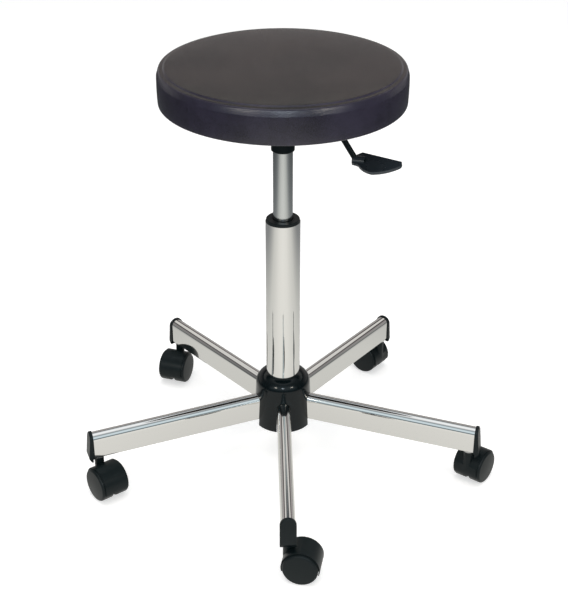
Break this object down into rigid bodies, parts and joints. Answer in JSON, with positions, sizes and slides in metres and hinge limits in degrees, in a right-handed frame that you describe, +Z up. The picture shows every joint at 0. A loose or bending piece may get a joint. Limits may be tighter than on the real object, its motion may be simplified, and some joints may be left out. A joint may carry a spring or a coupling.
{
  "type": "machinist stool",
  "caption": "Round padded swivel stool on a gas-lift column with a side release lever, a star base of sloping chrome legs and swivelling twin-wheel casters",
  "frame": {"origin": "on the column's axis at floor level, under the wheels", "axes": "+Z up along the column; the picture was taken from -Y, with +X to its right, so the front leg points along -Y"},
  "size_m": [0.6126, 0.6003, 0.632],
  "materials": {
    "chrome": "bright plated",
    "satin_tube": "satin",
    "gloss_black": "gloss",
    "black_moulding": "satin moulded",
    "black_caster": "satin",
    "black_wheel": "satin",
    "black_steel": "semi-gloss black",
    "plain_steel": "machined",
    "brass_cage": "plain",
    "rubber": "matt",
    "nylon": "plain",
    "plywood": "raw",
    "vinyl": "fine grain, dark grey"
  },
  "bodies": {
    "base": {"column_tube": "chrome", "column_guide_bush": "black_moulding", "column_floor_disc": "plain_steel", "bearing_lower_washer": "plain_steel", "bearing_ball_cage": "brass_cage", "hub_socket": "plain_steel", "hub_shroud": "gloss_black", "leg_1": "chrome", "leg_2": "chrome", "leg_3": "chrome", "leg_4": "chrome", "leg_5": "chrome", "leg_end_cap_1": "black_moulding", "leg_end_cap_2": "black_moulding", "leg_end_cap_3": "black_moulding", "leg_end_cap_4": "black_moulding", "leg_end_cap_5": "black_moulding", "caster_sockets": "plain_steel", "caster_stems": "plain_steel", "stem_grip_rings": "plain_steel"},
    "rod": {"piston_rod": "plain_steel", "rod_clip": "plain_steel", "bearing_upper_washer": "plain_steel", "bump_stop": "rubber", "piston_head": "nylon"},
    "lift": {"pressure_tube": "satin_tube", "rod_guide": "plain_steel", "valve_body": "plain_steel", "taper_socket": "black_steel", "seat_plate": "black_steel", "lever_pivot_pin": "plain_steel", "seat_board": "plywood", "seat_cushion": "vinyl", "seat_screws": "plain_steel"},
    "lever": {"lever_rod": "black_steel", "lever_paddle": "black_moulding"},
    "release": {"release_pin": "plain_steel"},
    "caster_1": {"caster_hood_1": "black_caster", "caster_axle_1": "plain_steel"},
    "wheel_1a": {"wheel_1a": "black_wheel"},
    "wheel_1b": {"wheel_1b": "black_wheel"},
    "caster_2": {"caster_hood_2": "black_caster", "caster_axle_2": "plain_steel"},
    "wheel_2a": {"wheel_2a": "black_wheel"},
    "wheel_2b": {"wheel_2b": "black_wheel"},
    "caster_3": {"caster_hood_3": "black_caster", "caster_axle_3": "plain_steel"},
    "wheel_3a": {"wheel_3a": "black_wheel"},
    "wheel_3b": {"wheel_3b": "black_wheel"},
    "caster_4": {"caster_hood_4": "black_caster", "caster_axle_4": "plain_steel"},
    "wheel_4a": {"wheel_4a": "black_wheel"},
    "wheel_4b": {"wheel_4b": "black_wheel"},
    "caster_5": {"caster_hood_5": "black_caster", "caster_axle_5": "plain_steel"},
    "wheel_5a": {"wheel_5a": "black_wheel"},
    "wheel_5b": {"wheel_5b": "black_wheel"}
  },
  "joints": [
    {"name": "seat_swivel", "type": "hinge", "parent": "base", "child": "rod", "pos_m": [0, 0, 0.07], "axis": [0, 0, 1], "continuous": true},
    {"name": "seat_height", "type": "slide", "parent": "rod", "child": "lift", "axis": [0, 0, 1], "range_m": [-0.1, 0.1]},
    {"name": "lever_pull", "type": "hinge", "parent": "lift", "child": "lever", "pos_m": [0.02596, -0.01049, 0.56], "axis": [-0.3746, -0.9272, 0], "range_deg": [0, 6], "stiffness_Nm_per_rad": 4, "springref_deg": -3.44},
    {"name": "release_press", "type": "slide", "parent": "lift", "child": "release", "axis": [0, 0, -1], "range_m": [0, 0.0032], "stiffness_N_per_m": 1500, "springref_m": -0.002},
    {"name": "caster_swivel_1", "type": "hinge", "parent": "base", "child": "caster_1", "pos_m": [0.00656, -0.28893, 0.055], "axis": [0, 0, 1], "continuous": true},
    {"name": "wheel_spin_1a", "type": "hinge", "parent": "caster_1", "child": "wheel_1a", "pos_m": [0.02621, -0.29261, 0.025], "axis": [0.184, 0.9829, 0], "continuous": true},
    {"name": "wheel_spin_1b", "type": "hinge", "parent": "caster_1", "child": "wheel_1b", "pos_m": [0.02621, -0.29261, 0.025], "axis": [0.184, 0.9829, 0], "continuous": true},
    {"name": "caster_swivel_2", "type": "hinge", "parent": "base", "child": "caster_2", "pos_m": [0.27681, -0.08305, 0.055], "axis": [0, 0, 1], "continuous": true},
    {"name": "wheel_spin_2a", "type": "hinge", "parent": "caster_2", "child": "wheel_2a", "pos_m": [0.28893, -0.06714, 0.025], "axis": [-0.7955, 0.606, 0], "continuous": true},
    {"name": "wheel_spin_2b", "type": "hinge", "parent": "caster_2", "child": "wheel_2b", "pos_m": [0.28893, -0.06714, 0.025], "axis": [-0.7955, 0.606, 0], "continuous": true},
    {"name": "caster_swivel_3", "type": "hinge", "parent": "base", "child": "caster_3", "pos_m": [0.16452, 0.2376, 0.055], "axis": [0, 0, 1], "continuous": true},
    {"name": "wheel_spin_3a", "type": "hinge", "parent": "caster_3", "child": "wheel_3a", "pos_m": [0.14887, 0.25005, 0.025], "axis": [-0.6225, -0.7826, 0], "continuous": true},
    {"name": "wheel_spin_3b", "type": "hinge", "parent": "caster_3", "child": "wheel_3b", "pos_m": [0.14887, 0.25005, 0.025], "axis": [-0.6225, -0.7826, 0], "continuous": true},
    {"name": "caster_swivel_4", "type": "hinge", "parent": "base", "child": "caster_4", "pos_m": [-0.17513, 0.22989, 0.055], "axis": [0, 0, 1], "continuous": true},
    {"name": "wheel_spin_4a", "type": "hinge", "parent": "caster_4", "child": "wheel_4a", "pos_m": [-0.18148, 0.21093, 0.025], "axis": [0.9483, -0.3173, 0], "continuous": true},
    {"name": "wheel_spin_4b", "type": "hinge", "parent": "caster_4", "child": "wheel_4b", "pos_m": [-0.18148, 0.21093, 0.025], "axis": [0.9483, -0.3173, 0], "continuous": true},
    {"name": "caster_swivel_5", "type": "hinge", "parent": "base", "child": "caster_5", "pos_m": [-0.27276, -0.09552, 0.055], "axis": [0, 0, 1], "continuous": true},
    {"name": "wheel_spin_5a", "type": "hinge", "parent": "caster_5", "child": "wheel_5a", "pos_m": [-0.26036, -0.11121, 0.025], "axis": [0.7848, 0.6198, 0], "continuous": true},
    {"name": "wheel_spin_5b", "type": "hinge", "parent": "caster_5", "child": "wheel_5b", "pos_m": [-0.26036, -0.11121, 0.025], "axis": [0.7848, 0.6198, 0], "continuous": true}
  ],
  "couplings": [
    {"joint": "release_press", "follows": "lever_pull", "m_per_rad": 0.0285}
  ]
}
